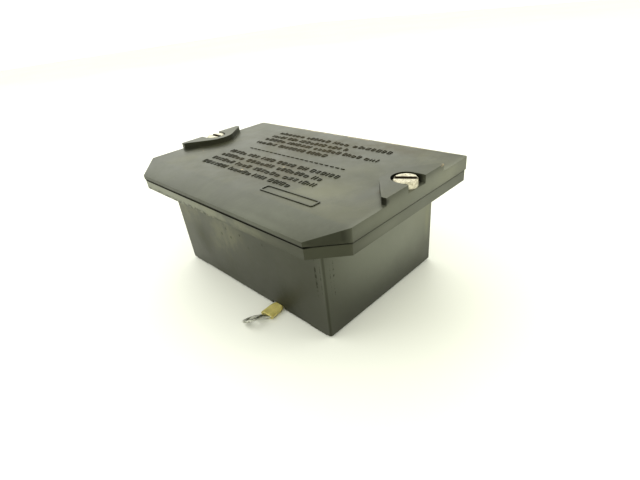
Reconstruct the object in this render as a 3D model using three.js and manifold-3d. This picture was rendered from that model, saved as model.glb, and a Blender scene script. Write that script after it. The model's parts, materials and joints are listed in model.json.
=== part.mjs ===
// A panel-mounting battery case for three large round cells: a flanged tray, a lid held by two
// captive slotted screws, cells in series between springs and contact plates, and two terminals
// in a recess under the floor, one of which carries a short lead that comes out under the front wall.
//
// Millimetres. +X runs along the long side, -Y faces the chamfered front edge and +Z is up.
// The origin is on the ground, under the middle of the lid.

import * as THREE from "three";
import { mergeVertices } from "three/addons/utils/BufferGeometryUtils.js";
import Module from "manifold-3d";

// Lid
const LID_LENGTH = 145;
const LID_WIDTH = 91;
const LID_CHAMFER_X = 12;
const LID_CHAMFER_Y = 12.2;
const LID_BACK_RADIUS = 1.5;
const LID_EDGE = 5.8;
const LID_FRONT_EDGE = 2.1;
const LID_POCKET_DEPTH = 3.3;

// Heights of the body and the lid
const FOOT_HEIGHT = 1.2;
const FLOOR_BOTTOM = 11.5;
const FLOOR_TOP = 14;
const FLANGE_BOTTOM = 48;
const FLANGE_TOP = 52.7;
const PARTING = 53.2;
const LID_TOP = PARTING + LID_EDGE;
const LID_POCKET_TOP = PARTING + LID_POCKET_DEPTH;

// Body, whose middle lies behind the middle of the lid
const BODY_LENGTH = 113.6;
const BODY_WIDTH = 78;
const BODY_Y = 5.2;
const BODY_DRAFT = 0.5;
const BODY_CORNER = 1.2;
const BAY_LENGTH = 108.6;
const BAY_WIDTH = 72.8;
const FLANGE_INSET = 0.4;
const BAY_FRONT = BODY_Y - BAY_WIDTH / 2;
const BAY_BACK = BODY_Y + BAY_WIDTH / 2;

// Raised lugs on the lid, with a counterbore for each screw
const LUG_HEIGHT = 3.1;
const LUG_HALF = 19.5;
const LUG_DEPTH = 15;
const LUG_APEX_RADIUS = 12;
const LUG_SLANT = THREE.MathUtils.degToRad(40);
const LUG_TOP = LID_TOP + LUG_HEIGHT;
const COUNTERBORE_RADIUS = 5.85;
const COUNTERBORE_FLOOR = LID_TOP - 0.4;

// Captive lid screws, their retainers and the threaded inserts in the flange
const SCREW_X = 67.2;
const SCREW_HEAD_RADIUS = 4.95;
const SCREW_HEAD_HEIGHT = 3.3;
const SCREW_SHANK_RADIUS = 2.4;
const SCREW_TIP = 48.4;
const SCREW_SEAT_GAP = 0.05;
const SLOT_WIDTH = 1.9;
const SLOT_DEPTH = 2;
const SLOT_ANGLES = { left: 0, right: THREE.MathUtils.degToRad(28) };
const RETAINER_RADIUS = 3.8;
const RETAINER_BOTTOM = 51.4;
const RETAINER_TOP = 52.2;
const RETAINER_POCKET_RADIUS = 4.2;
const INSERT_RADIUS = 3.5;
const INSERT_TOP = 51.1;
const RUNNING_GAP = 0.05;

// Mounting holes through the flange
const MOUNT_HOLE_X = 64.5;
const MOUNT_HOLE_YS = [-24.8, 35.2];
const MOUNT_HOLE_RADIUS = 2.25;
const MOUNT_SINK_RADIUS = 4.5;

// Cells, lying along Y
const CELL_RADIUS = 17.1;
const CELL_PITCH = 34.8;
const CELL_Z = 32;
const CELL_CAN_LENGTH = 59.5;
const CELL_LENGTH = 61.5;
const SADDLE_GAP = 0.35;

// Contact plates against the bay's front and back walls
const PLATE_THICKNESS = 0.5;
const PLATE_GAP = 0.05;
const PAD_RADIUS = 8;
const SPRING_WIRE = 1;

// Terminals under the floor
const TERMINAL_X = 49.5;
const TERMINAL_FROM_WALL = 6.1;
const STUD_RADIUS = 1.95;
const STUD_HOLE_RADIUS = 2.15;
const STUD_END = 5;
const NUT_ACROSS_FLATS = 7;
const NUT_HEIGHT = 3.2;
const WASHER_HEIGHT = 0.8;
const WASHER_RADIUS = 4.4;

// The lead: ring lugs with flattened sleeves on a thin wire
const WIRE_RADIUS = 1;
const LUG_PLATE = 0.9;
const RING_RADIUS = 4.25;
const RING_REACH = 7;
const SLEEVE_WIDTH = 7.4;
const SLEEVE_HEIGHT = 2.2;
const SLEEVE_WALL = 0.55;
const SLEEVE_LENGTH = 10.6;
const LEAD_Z = 1.2;
const LEAD_EXIT_X = 21.9;
const LEAD_EXIT_YAW = THREE.MathUtils.degToRad(6.5);
const OUTER_RING_ROLL = THREE.MathUtils.degToRad(25);
const OUTER_RING_ASIDE = THREE.MathUtils.degToRad(-28);
const OUTER_RING_RISE = 1.95;
const INNER_LEAD_YAW = THREE.MathUtils.degToRad(-82);
const INNER_LEAD_DROP = 1.75;

const SIDES = { left: -1, right: 1 };
const OVERRUN = 1;

const wasm = await Module();
wasm.setup();

// ---------------------------------------------------------------- solids

// A closed geometry as a manifold-3d solid.
function solidOf(geometry) {
  const bare = new THREE.BufferGeometry();
  bare.setAttribute("position", geometry.getAttribute("position"));
  if (geometry.index) bare.setIndex(geometry.index);
  const merged = mergeVertices(bare, 1e-4);
  const vertProperties = merged.attributes.position.array;
  const triVerts = new Uint32Array(merged.index.array);
  return new wasm.Manifold(new wasm.Mesh({ numProp: 3, vertProperties, triVerts }));
}

function geometryOf(solid) {
  const { vertProperties, triVerts } = solid.getMesh();
  const geometry = new THREE.BufferGeometry();
  const positions = new THREE.BufferAttribute(Float32Array.from(vertProperties), 3);
  geometry.setAttribute("position", positions);
  geometry.setIndex(new THREE.BufferAttribute(Uint32Array.from(triVerts), 1));
  return geometry;
}

const join = (first, ...others) => others.reduce((sum, other) => sum.add(other), first);
const cut = (first, ...others) => others.reduce((rest, other) => rest.subtract(other), first);

function block([lowX, highX], [lowY, highY], [lowZ, highZ]) {
  const box = new THREE.BoxGeometry(highX - lowX, highY - lowY, highZ - lowZ);
  box.translate((lowX + highX) / 2, (lowY + highY) / 2, (lowZ + highZ) / 2);
  return solidOf(box);
}

// An outline in X and Y, drawn up from one height to another.
function prism(shape, lowZ, highZ, curveSegments = 8) {
  const options = { depth: highZ - lowZ, bevelEnabled: false, curveSegments };
  return solidOf(new THREE.ExtrudeGeometry(shape, options).translate(0, 0, lowZ));
}

// An outline in X and Z, drawn along Y.
function upright(shape, lowY, highY, curveSegments = 12) {
  const options = { depth: highY - lowY, bevelEnabled: false, curveSegments };
  const geometry = new THREE.ExtrudeGeometry(shape, options);
  return solidOf(geometry.rotateX(Math.PI / 2).translate(0, highY, 0));
}

// An outline in Y and Z, drawn along X.
function lengthwise(shape, lowX, highX) {
  const geometry = new THREE.ExtrudeGeometry(shape, { depth: highX - lowX, bevelEnabled: false });
  const yAxis = new THREE.Vector3(0, 1, 0);
  const zAxis = new THREE.Vector3(0, 0, 1);
  const xAxis = new THREE.Vector3(1, 0, 0);
  geometry.applyMatrix4(new THREE.Matrix4().makeBasis(yAxis, zAxis, xAxis));
  return solidOf(geometry.translate(lowX, 0, 0));
}

// A profile of [radius, height] points, turned about Z.
function turned(profile, segments = 32) {
  const points = profile.map(([radius, z]) => new THREE.Vector2(radius, z));
  return new THREE.LatheGeometry(points, segments).rotateX(Math.PI / 2);
}

function rod(x, y, radius, lowZ, highZ, segments = 24) {
  const geometry = turned([[0, lowZ], [radius, lowZ], [radius, highZ], [0, highZ]], segments);
  return solidOf(geometry.translate(x, y, 0));
}

// A cylinder along Y.
function barrel(x, z, radius, lowY, highY, segments = 32) {
  const geometry = turned([[0, lowY], [radius, lowY], [radius, highY], [0, highY]], segments);
  return solidOf(geometry.rotateX(-Math.PI / 2).translate(x, 0, z));
}

// A ring about Z: a bored disc such as a washer.
function ringGeometry(innerRadius, outerRadius, lowZ, highZ, segments = 24) {
  const inner = [[innerRadius, highZ], [innerRadius, lowZ]];
  const outer = [[outerRadius, lowZ], [outerRadius, highZ]];
  return turned([...inner, ...outer, inner[0]], segments);
}

// ---------------------------------------------------------------- outlines

function polygon(points) {
  return new THREE.Shape(points.map(([x, y]) => new THREE.Vector2(x, y)));
}

function roundedRectangle(width, depth, radius, x = 0, y = 0) {
  const shape = new THREE.Shape();
  const right = x + width / 2 - radius;
  const left = x - width / 2 + radius;
  const back = y + depth / 2 - radius;
  const front = y - depth / 2 + radius;
  shape.absarc(right, back, radius, 0, Math.PI / 2);
  shape.absarc(left, back, radius, Math.PI / 2, Math.PI);
  shape.absarc(left, front, radius, Math.PI, 1.5 * Math.PI);
  shape.absarc(right, front, radius, 1.5 * Math.PI, 2 * Math.PI);
  return shape;
}

// Two half circles joined by straight sides.
function stadium(lowX, highX, y, radius) {
  const shape = new THREE.Shape();
  shape.absarc(highX - radius, y, radius, -Math.PI / 2, Math.PI / 2);
  shape.absarc(lowX + radius, y, radius, Math.PI / 2, 1.5 * Math.PI);
  return shape;
}

// The lid's outline: its two front corners are cut off and its two back corners are rounded.
function lidOutline(inset) {
  const end = LID_LENGTH / 2 - inset;
  const back = LID_WIDTH / 2 - inset;
  const chamferShrink = inset * (2 - Math.SQRT2);
  const cornerX = end - LID_CHAMFER_X + chamferShrink;
  const cornerY = -back + LID_CHAMFER_Y - chamferShrink;
  const shape = new THREE.Shape();
  shape.moveTo(-cornerX, -back);
  shape.lineTo(cornerX, -back);
  shape.lineTo(end, cornerY);
  shape.absarc(end - LID_BACK_RADIUS, back - LID_BACK_RADIUS, LID_BACK_RADIUS, 0, Math.PI / 2);
  shape.absarc(LID_BACK_RADIUS - end, back - LID_BACK_RADIUS, LID_BACK_RADIUS, Math.PI / 2, Math.PI);
  shape.lineTo(-end, cornerY);
  return shape;
}

// A lug's outline: flush with the lid's end, with slanted sides that meet in a rounded apex.
function lugOutline(side) {
  const end = LID_LENGTH / 2;
  const arcX = end - LUG_DEPTH + LUG_APEX_RADIUS;
  const tangentX = arcX - LUG_APEX_RADIUS * Math.cos(LUG_SLANT);
  const tangentY = LUG_APEX_RADIUS * Math.sin(LUG_SLANT);
  const shoulderX = tangentX + (LUG_HALF - tangentY) * Math.tan(LUG_SLANT);
  const points = [[end, -LUG_HALF], [shoulderX, -LUG_HALF]];
  const steps = 16;
  for (let i = 0; i <= steps; i++) {
    const angle = Math.PI + LUG_SLANT * (1 - (2 * i) / steps);
    points.push([arcX + LUG_APEX_RADIUS * Math.cos(angle), LUG_APEX_RADIUS * Math.sin(angle)]);
  }
  points.push([shoulderX, LUG_HALF], [end, LUG_HALF]);
  return polygon(points.map(([x, y]) => [side * x, BODY_Y + y]));
}

// ---------------------------------------------------------------- case body and lid

// The body's outer walls, a little narrower at the bottom.
function bodyShell() {
  const outline = roundedRectangle(BODY_LENGTH, BODY_WIDTH, BODY_CORNER);
  const height = FLANGE_BOTTOM - FOOT_HEIGHT;
  const geometry = new THREE.ExtrudeGeometry(outline, {
    depth: height,
    bevelEnabled: false,
    curveSegments: 4,
  });
  const positions = geometry.attributes.position;
  for (let i = 0; i < positions.count; i++) {
    const taper = BODY_DRAFT * (1 - positions.getZ(i) / height);
    positions.setX(i, positions.getX(i) - Math.sign(positions.getX(i)) * taper);
    positions.setY(i, positions.getY(i) - Math.sign(positions.getY(i)) * taper);
  }
  return solidOf(geometry.translate(0, BODY_Y, FOOT_HEIGHT));
}

function mountingHoleCutter(x, y) {
  const sinkBottom = FLANGE_TOP - (MOUNT_SINK_RADIUS - MOUNT_HOLE_RADIUS);
  const profile = [
    [0, FLANGE_BOTTOM - OVERRUN],
    [MOUNT_HOLE_RADIUS, FLANGE_BOTTOM - OVERRUN],
    [MOUNT_HOLE_RADIUS, sinkBottom],
    [MOUNT_SINK_RADIUS, FLANGE_TOP],
    [MOUNT_SINK_RADIUS, FLANGE_TOP + OVERRUN],
    [0, FLANGE_TOP + OVERRUN],
  ];
  return solidOf(turned(profile, 24).translate(x, y, 0));
}

// Cell axes run along Y at these places.
const cellXs = [-CELL_PITCH, 0, CELL_PITCH];

// A rib across the bay, hollowed to the shape of the cells that it holds.
function cellRib([lowX, highX], y, [lowZ, highZ]) {
  const halfThickness = 1;
  const rib = block([lowX, highX], [y - halfThickness, y + halfThickness], [lowZ, highZ]);
  const reach = halfThickness + OVERRUN;
  const hollow = (x) => barrel(x, CELL_Z, CELL_RADIUS + SADDLE_GAP, y - reach, y + reach);
  return cut(rib, ...cellXs.map(hollow));
}

function makeCaseBody() {
  const bay = roundedRectangle(BAY_LENGTH, BAY_WIDTH, 1, 0, BODY_Y);
  let body = join(bodyShell(), prism(lidOutline(FLANGE_INSET), FLANGE_BOTTOM, FLANGE_TOP));
  body = cut(body, prism(bay, FLOOR_TOP, FLANGE_TOP + OVERRUN, 4));
  body = cut(body, prism(bay, 0, FLOOR_BOTTOM, 4));

  // Saddles for the cells, and posts that the contact plates' edges rest between
  const ribOverlap = 0.2;
  const halfBay = BAY_LENGTH / 2 + ribOverlap;
  for (const y of [-13, 23]) {
    body = join(body, cellRib([-halfBay, halfBay], y, [FLOOR_TOP - ribOverlap, 24]));
  }
  const postWidth = 1.4;
  const postDepth = 1.8;
  const postTop = 42;
  const platePosts = { front: [-26.6, -9.6, 43], back: [-44.4, 8.2, 25.2] };
  for (const [wall, xs] of Object.entries(platePosts)) {
    const front = wall === "front";
    const lowY = front ? BAY_FRONT - ribOverlap : BAY_BACK - postDepth;
    const highY = front ? BAY_FRONT + postDepth : BAY_BACK + ribOverlap;
    for (const x of xs) {
      body = join(body, block([x, x + postWidth], [lowY, highY], [FLOOR_TOP - ribOverlap, postTop]));
    }
  }

  // Pads under the rim
  const padLength = 10;
  const padWidth = 1.4;
  const padInset = 0.8;
  const padX = 48;
  for (const x of [-padX, padX]) {
    for (const y of [BAY_FRONT - padInset, BAY_BACK + padInset]) {
      const spanX = [x - padLength / 2, x + padLength / 2];
      const spanY = [y - padWidth / 2, y + padWidth / 2];
      body = join(body, block(spanX, spanY, [0, FOOT_HEIGHT + ribOverlap]));
    }
  }

  // Seats for the lid screws' inserts and retainers, mounting holes, stud holes and the lead's notch
  for (const side of Object.values(SIDES)) {
    const x = side * SCREW_X;
    body = cut(
      body,
      rod(x, BODY_Y, INSERT_RADIUS + RUNNING_GAP, FLANGE_BOTTOM - OVERRUN, INSERT_TOP + OVERRUN),
      rod(x, BODY_Y, RETAINER_POCKET_RADIUS, INSERT_TOP + 0.1, FLANGE_TOP + OVERRUN),
      ...MOUNT_HOLE_YS.map((y) => mountingHoleCutter(side * MOUNT_HOLE_X, y)),
    );
  }
  for (const { x, y } of Object.values(terminals)) {
    body = cut(body, rod(x, y, STUD_HOLE_RADIUS, FLOOR_BOTTOM - OVERRUN, FLOOR_TOP + OVERRUN, 24));
  }
  const notchHalf = SLEEVE_WIDTH / 2 + 0.6;
  const notchTop = LEAD_Z + SLEEVE_HEIGHT / 2 + 0.4;
  const notchSpanX = [LEAD_EXIT_X - notchHalf, LEAD_EXIT_X + notchHalf];
  return cut(body, block(notchSpanX, [BAY_FRONT - 5, BAY_FRONT + OVERRUN], [0, notchTop]));
}

function makeLid() {
  const front = -LID_WIDTH / 2;
  const creaseY = front + LID_CHAMFER_Y;
  const fall = (LID_EDGE - LID_FRONT_EDGE) / LID_CHAMFER_Y;
  const beyond = front - 2;
  const slopeCutter = polygon([
    [creaseY, LID_TOP],
    [beyond, LID_TOP + fall * (beyond - creaseY)],
    [beyond, LID_TOP + OVERRUN],
    [creaseY, LID_TOP + OVERRUN],
  ]);
  let lid = prism(lidOutline(0), PARTING, LID_TOP);
  lid = cut(lid, lengthwise(slopeCutter, -LID_LENGTH, LID_LENGTH));

  // Pockets under the lid: one over the cells, and two beside each screw
  const pocket = roundedRectangle(BAY_LENGTH - 0.6, BAY_WIDTH - 1, 1, 0, BODY_Y);
  lid = cut(lid, prism(pocket, PARTING - OVERRUN, LID_POCKET_TOP, 4));
  for (const side of Object.values(SIDES)) {
    const x = side * SCREW_X;
    for (const [lowY, highY] of [[-30, -5], [15.5, 42]]) {
      const cavity = roundedRectangle(9.5, highY - lowY, 1, side * 64.75, (lowY + highY) / 2);
      lid = cut(lid, prism(cavity, PARTING - OVERRUN, LID_POCKET_TOP, 4));
    }
    lid = join(lid, prism(lugOutline(side), LID_TOP - OVERRUN, LUG_TOP));
    const openX = [SCREW_X, LID_LENGTH / 2 + OVERRUN].map((reach) => side * reach).sort((a, b) => a - b);
    const openY = [BODY_Y - COUNTERBORE_RADIUS, BODY_Y + COUNTERBORE_RADIUS];
    const openZ = [COUNTERBORE_FLOOR, LUG_TOP + OVERRUN];
    lid = cut(
      lid,
      rod(x, BODY_Y, COUNTERBORE_RADIUS, ...openZ, 64),
      block(openX, openY, openZ),
      rod(x, BODY_Y, SCREW_SHANK_RADIUS + 0.4, PARTING - OVERRUN, LID_TOP + OVERRUN),
      rod(x, BODY_Y, RETAINER_POCKET_RADIUS, PARTING - OVERRUN, LID_POCKET_TOP),
    );
  }

  // Ribs that keep the cells down in their saddles
  const halfRib = BAY_LENGTH / 2 - 1.5;
  for (const y of [-6, 16]) {
    lid = join(lid, cellRib([-halfRib, halfRib], y, [46, LID_POCKET_TOP + 0.5]));
  }
  return lid;
}

// The seal between the flange and the lid, around the bay.
function makeGasket() {
  const outline = roundedRectangle(BAY_LENGTH + 6, BAY_WIDTH + 4.6, 3, 0, BODY_Y);
  outline.holes.push(roundedRectangle(BAY_LENGTH + 2, BAY_WIDTH + 1.4, 1.5, 0, BODY_Y));
  return prism(outline, FLANGE_TOP, PARTING, 5);
}

// ---------------------------------------------------------------- lid screws

function makeScrew(slotAngle) {
  const headBottom = COUNTERBORE_FLOOR + SCREW_SEAT_GAP;
  const headTop = headBottom + SCREW_HEAD_HEIGHT;
  const edge = 0.5;
  const profile = [
    [0, SCREW_TIP],
    [SCREW_SHANK_RADIUS - edge, SCREW_TIP],
    [SCREW_SHANK_RADIUS, SCREW_TIP + edge],
    [SCREW_SHANK_RADIUS, headBottom],
    [SCREW_HEAD_RADIUS, headBottom],
    [SCREW_HEAD_RADIUS, headTop - edge],
    [SCREW_HEAD_RADIUS - edge, headTop],
    [0, headTop],
  ];
  const slot = new THREE.BoxGeometry(3 * SCREW_HEAD_RADIUS, SLOT_WIDTH, 2 * SLOT_DEPTH);
  slot.rotateZ(slotAngle).translate(0, 0, headTop);
  return geometryOf(cut(solidOf(turned(profile, 64)), solidOf(slot)));
}

function addLidScrew(group, name, side) {
  const screw = new THREE.Group();
  screw.position.set(side * SCREW_X, BODY_Y, 0);
  const retainerBore = SCREW_SHANK_RADIUS + RUNNING_GAP;
  const retainer = ringGeometry(retainerBore, RETAINER_RADIUS, RETAINER_BOTTOM, RETAINER_TOP);
  const insertBore = SCREW_SHANK_RADIUS + 2 * RUNNING_GAP;
  const insert = ringGeometry(insertBore, INSERT_RADIUS, FLANGE_BOTTOM, INSERT_TOP);
  addPiece(screw, `lid_screw_${name}`, makeScrew(SLOT_ANGLES[name]), metals.nickel);
  addPiece(screw, `screw_retainer_${name}`, retainer, metals.steel);
  addPiece(screw, `threaded_insert_${name}`, insert, metals.brass);
  group.add(screw);
}

// ---------------------------------------------------------------- cells and contacts

// A cone of round wire, wide at its base and narrow at its tip, along Z.
class ConeHelix extends THREE.Curve {
  constructor(baseRadius, tipRadius, height, turns) {
    super();
    Object.assign(this, { baseRadius, tipRadius, height, turns });
  }

  getPoint(t, target = new THREE.Vector3()) {
    const angle = 2 * Math.PI * this.turns * t;
    const radius = THREE.MathUtils.lerp(this.baseRadius, this.tipRadius, t);
    return target.set(radius * Math.cos(angle), radius * Math.sin(angle), this.height * t);
  }
}

// A round bar along a curve.
function tube(curve, radius, steps, sides) {
  const corners = Array.from({ length: sides }, (_, i) => {
    const angle = (2 * Math.PI * i) / sides;
    return [radius * Math.cos(angle), radius * Math.sin(angle)];
  });
  return new THREE.ExtrudeGeometry(polygon(corners), { steps, extrudePath: curve });
}

const canProfile = [
  [0, 0],
  [CELL_RADIUS - 1, 0],
  [CELL_RADIUS, 1],
  [CELL_RADIUS, CELL_CAN_LENGTH - 1],
  [CELL_RADIUS - 1, CELL_CAN_LENGTH],
  [0, CELL_CAN_LENGTH],
];
const nubRadius = 4.7;
const capProfile = [
  [0, CELL_CAN_LENGTH + 0.05],
  [11, CELL_CAN_LENGTH + 0.05],
  [11, CELL_CAN_LENGTH + 0.5],
  [nubRadius, CELL_CAN_LENGTH + 0.5],
  [nubRadius, CELL_LENGTH - 0.3],
  [nubRadius - 0.3, CELL_LENGTH],
  [0, CELL_LENGTH],
];

// A cell, its positive cap, and the spring behind it. Every other cell lies the other way round.
function addCell(group, index) {
  const turnedRound = index === 1;
  const direction = turnedRound ? -1 : 1;
  const plateFace = BAY_WIDTH / 2 - PLATE_GAP - PLATE_THICKNESS;
  const capGap = 0.1;
  const cell = new THREE.Group();
  cell.position.set(cellXs[index], BODY_Y - direction * (CELL_LENGTH + capGap - plateFace), CELL_Z);
  cell.rotation.x = -direction * (Math.PI / 2);
  const number = index + 1;
  addPiece(cell, `cell_${number}_can`, turned(canProfile, 40), cellJacket);
  addPiece(cell, `cell_${number}_cap`, turned(capProfile, 24), metals.nickel);
  const springRoom = 2 * plateFace - CELL_LENGTH - capGap;
  const endGap = SPRING_WIRE / 2 + 0.1;
  const helix = new ConeHelix(7, 3.5, springRoom - 2 * endGap, 3.5);
  const spring = tube(helix, SPRING_WIRE / 2, 45, 6);
  spring.translate(0, 0, endGap - springRoom);
  addPiece(cell, `cell_spring_${number}`, spring, metals.nickel);
  group.add(cell);
}

const walls = {
  front: {
    face: BAY_FRONT,
    plate: [BAY_FRONT + PLATE_GAP, BAY_FRONT + PLATE_GAP + PLATE_THICKNESS],
    inward: 1,
  },
  back: {
    face: BAY_BACK,
    plate: [BAY_BACK - PLATE_GAP - PLATE_THICKNESS, BAY_BACK - PLATE_GAP],
    inward: -1,
  },
};

const terminals = {
  minus: { wall: walls.front, side: -1, x: -TERMINAL_X, y: BAY_FRONT + TERMINAL_FROM_WALL },
  plus: { wall: walls.back, side: 1, x: TERMINAL_X, y: BAY_BACK - TERMINAL_FROM_WALL },
};

// A strip that joins two neighbouring cells.
function makeLinkPlate(wall, lowIndex) {
  const lowX = cellXs[lowIndex] - PAD_RADIUS;
  const highX = cellXs[lowIndex + 1] + PAD_RADIUS;
  return upright(stadium(lowX, highX, CELL_Z, PAD_RADIUS), ...wall.plate);
}

// An end cell's plate, with an arm, a leg down to the floor and a foot under the stud's head.
function makeEndPlate({ wall, side, x, y }) {
  const padX = side * CELL_PITCH;
  const legHalf = 3.5;
  const armHalf = 4;
  const legSpan = [x - legHalf, x + legHalf];
  const armSpan = side > 0 ? [padX, x + legHalf] : [x - legHalf, padX];
  const footZ = [FLOOR_TOP + PLATE_GAP, FLOOR_TOP + PLATE_GAP + PLATE_THICKNESS];
  const footEnd = y + wall.inward * legHalf;
  const footSpan = wall.inward > 0 ? [wall.plate[0], footEnd] : [footEnd, wall.plate[1]];
  return cut(
    join(
      barrel(padX, CELL_Z, PAD_RADIUS, ...wall.plate, 32),
      block(armSpan, wall.plate, [CELL_Z - armHalf, CELL_Z + armHalf]),
      block(legSpan, wall.plate, [footZ[0], CELL_Z]),
      block(legSpan, footSpan, footZ),
    ),
    rod(x, y, STUD_HOLE_RADIUS, footZ[0] - OVERRUN, footZ[1] + OVERRUN, 24),
  );
}

// ---------------------------------------------------------------- terminals

function hexagon(acrossFlats) {
  const corner = acrossFlats / Math.sqrt(3);
  const angles = Array.from({ length: 6 }, (_, i) => (Math.PI * i) / 3);
  return polygon(angles.map((a) => [corner * Math.cos(a), corner * Math.sin(a)]));
}

// The stud, washer and nut of one terminal, clamping what lies against the floor.
function addTerminal(group, name, clamped) {
  const { x, y } = terminals[name];
  const terminal = new THREE.Group();
  terminal.position.set(x, y, 0);
  const headBottom = FLOOR_TOP + 2 * PLATE_GAP + PLATE_THICKNESS;
  const headHeight = 1.4;
  const headRadius = 3.2;
  const edge = 0.4;
  const stud = turned([
    [0, STUD_END],
    [STUD_RADIUS - edge, STUD_END],
    [STUD_RADIUS, STUD_END + edge],
    [STUD_RADIUS, headBottom],
    [headRadius, headBottom],
    [headRadius, headBottom + headHeight - edge],
    [headRadius - edge, headBottom + headHeight],
    [0, headBottom + headHeight],
  ], 24);
  const washerTop = FLOOR_BOTTOM - PLATE_GAP - clamped;
  const washerBottom = washerTop - WASHER_HEIGHT;
  const washer = ringGeometry(STUD_HOLE_RADIUS, WASHER_RADIUS, washerBottom, washerTop, 24);
  const nutTop = washerBottom - PLATE_GAP;
  const nutBore = rod(0, 0, STUD_RADIUS + RUNNING_GAP, 0, nutTop + OVERRUN, 24);
  const nut = cut(prism(hexagon(NUT_ACROSS_FLATS), nutTop - NUT_HEIGHT, nutTop), nutBore);
  addPiece(terminal, `terminal_stud_${name}`, stud, metals.brass);
  addPiece(terminal, `terminal_washer_${name}`, washer, metals.brass);
  addPiece(terminal, `terminal_nut_${name}`, geometryOf(nut), metals.brass);
  group.add(terminal);
}

// ---------------------------------------------------------------- the lead

// A ring lug. Its flat barrel runs along +Y from the origin and its ring lies at -Y. The ring is
// rolled about Y, turned aside about Z and raised, and the short neck takes up the difference.
function makeRingLug({ roll, aside, rise }) {
  const thickness = [-LUG_PLATE / 2, LUG_PLATE / 2];
  const neckEnd = WASHER_RADIUS + 0.2 - RING_REACH;
  const neckHalf = 2.2;
  const lap = 0.1;
  const disc = join(
    rod(0, -RING_REACH, RING_RADIUS, ...thickness, 40),
    block([-neckHalf, neckHalf], [-RING_REACH + 3, neckEnd], thickness),
  );
  const ring = cut(disc, rod(0, -RING_REACH, STUD_HOLE_RADIUS, -OVERRUN, OVERRUN, 32));
  const placed = new THREE.Matrix4()
    .makeTranslation(0, 0, rise)
    .multiply(new THREE.Matrix4().makeRotationZ(aside))
    .multiply(new THREE.Matrix4().makeRotationY(-roll));
  const neck = new THREE.BoxGeometry(2 * neckHalf, lap - neckEnd + lap, LUG_PLATE);
  neck.translate(0, neckEnd / 2, 0);
  const corners = neck.attributes.position;
  const corner = new THREE.Vector3();
  for (let i = 0; i < corners.count; i++) {
    corner.fromBufferAttribute(corners, i);
    if (corner.y < 0) corners.setXYZ(i, ...corner.applyMatrix4(placed).toArray());
  }
  const ringInPlace = solidOf(geometryOf(ring).applyMatrix4(placed));
  const flatBarrel = block([-2.5, 2.5], [0, SLEEVE_LENGTH - 1.5], thickness);
  return geometryOf(join(ringInPlace, solidOf(neck), flatBarrel));
}

// A soft insulating sleeve pressed flat over the lug's barrel, along +Y from the origin.
function makeSleeve() {
  const half = SLEEVE_WIDTH / 2;
  const outline = stadium(-half, half, 0, SLEEVE_HEIGHT / 2);
  const innerHalf = half - SLEEVE_WALL;
  outline.holes.push(stadium(-innerHalf, innerHalf, 0, SLEEVE_HEIGHT / 2 - SLEEVE_WALL));
  return geometryOf(upright(outline, 0, SLEEVE_LENGTH, 12));
}

// The end of the lead that lies on the ground in front of the case.
function addOuterLeadEnd(group) {
  const end = new THREE.Group();
  const sleeveFront = -8;
  end.position.set(LEAD_EXIT_X, BAY_FRONT - 2.4, LEAD_Z);
  end.rotation.z = LEAD_EXIT_YAW;
  const lug = makeRingLug({ roll: OUTER_RING_ROLL, aside: OUTER_RING_ASIDE, rise: OUTER_RING_RISE });
  addPiece(end, "lead_outer_lug", lug, metals.tin).position.set(0.25, sleeveFront - 0.2, 0);
  addPiece(end, "lead_outer_sleeve", makeSleeve(), yellowSleeve).position.y = sleeveFront;
  group.add(end);
}

// The end of the lead that is clamped on the minus terminal's stud.
function addInnerLeadEnd(group) {
  const end = new THREE.Group();
  const { x, y } = terminals.minus;
  const ringTop = FLOOR_BOTTOM - PLATE_GAP;
  const alongX = -Math.sin(INNER_LEAD_YAW);
  const alongY = Math.cos(INNER_LEAD_YAW);
  const ringZ = ringTop - LUG_PLATE / 2;
  end.position.set(x + RING_REACH * alongX, y + RING_REACH * alongY, ringZ - INNER_LEAD_DROP);
  end.rotation.z = INNER_LEAD_YAW;
  const lug = makeRingLug({ roll: 0, aside: 0, rise: INNER_LEAD_DROP });
  addPiece(end, "lead_inner_lug", lug, metals.tin);
  addPiece(end, "lead_inner_sleeve", makeSleeve(), yellowSleeve).position.y = 0.4;
  group.add(end);
}

// The wire's centre line through the recess, from the inner sleeve to the outer one.
const leadRoute = [
  [-31.3, -22.5, 9.2],
  [-28.5, -22.1, 9],
  [-25, -21.5, 8.5],
  [-21, -20.8, 7.7],
  [-17, -20.1, 6.7],
  [-13, -19.4, 5.6],
  [-9, -18.8, 4.6],
  [-5, -18.2, 3.7],
  [-1, -17.7, 2.9],
  [3, -17.3, 2.2],
  [7, -17.1, 1.7],
  [11, -17.5, 1.4],
  [14.8, -19, 1.25],
  [18, -21.6, 1.2],
  [20.1, -24.8, 1.2],
  [21.2, -28, 1.2],
  [21.6, -30.7, 1.2],
].map((point) => new THREE.Vector3(...point));

function makeLeadWire() {
  return tube(new THREE.CatmullRomCurve3(leadRoute), WIRE_RADIUS, 28, 8);
}

// ---------------------------------------------------------------- materials and assembly

function material(color, roughness, metalness) {
  return new THREE.MeshStandardMaterial({ color, roughness, metalness });
}

const blackPlastic = material(0x3a3c34, 0.6, 0);
const darkRubber = material(0x161616, 0.9, 0);
const cellJacket = material(0x4a4f55, 0.4, 0.2);
const yellowSleeve = material(0xc8b860, 0.55, 0);
const wireJacket = material(0x8a2a22, 0.5, 0);
const metals = {
  nickel: material(0xb8b6ae, 0.35, 1),
  steel: material(0x8e9092, 0.4, 1),
  brass: material(0xb08d4a, 0.4, 1),
  tin: material(0xc4c4bd, 0.35, 1),
};

function addPiece(group, name, geometry, pieceMaterial) {
  const mesh = new THREE.Mesh(geometry, pieceMaterial);
  mesh.name = name;
  group.add(mesh);
  return mesh;
}

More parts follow.
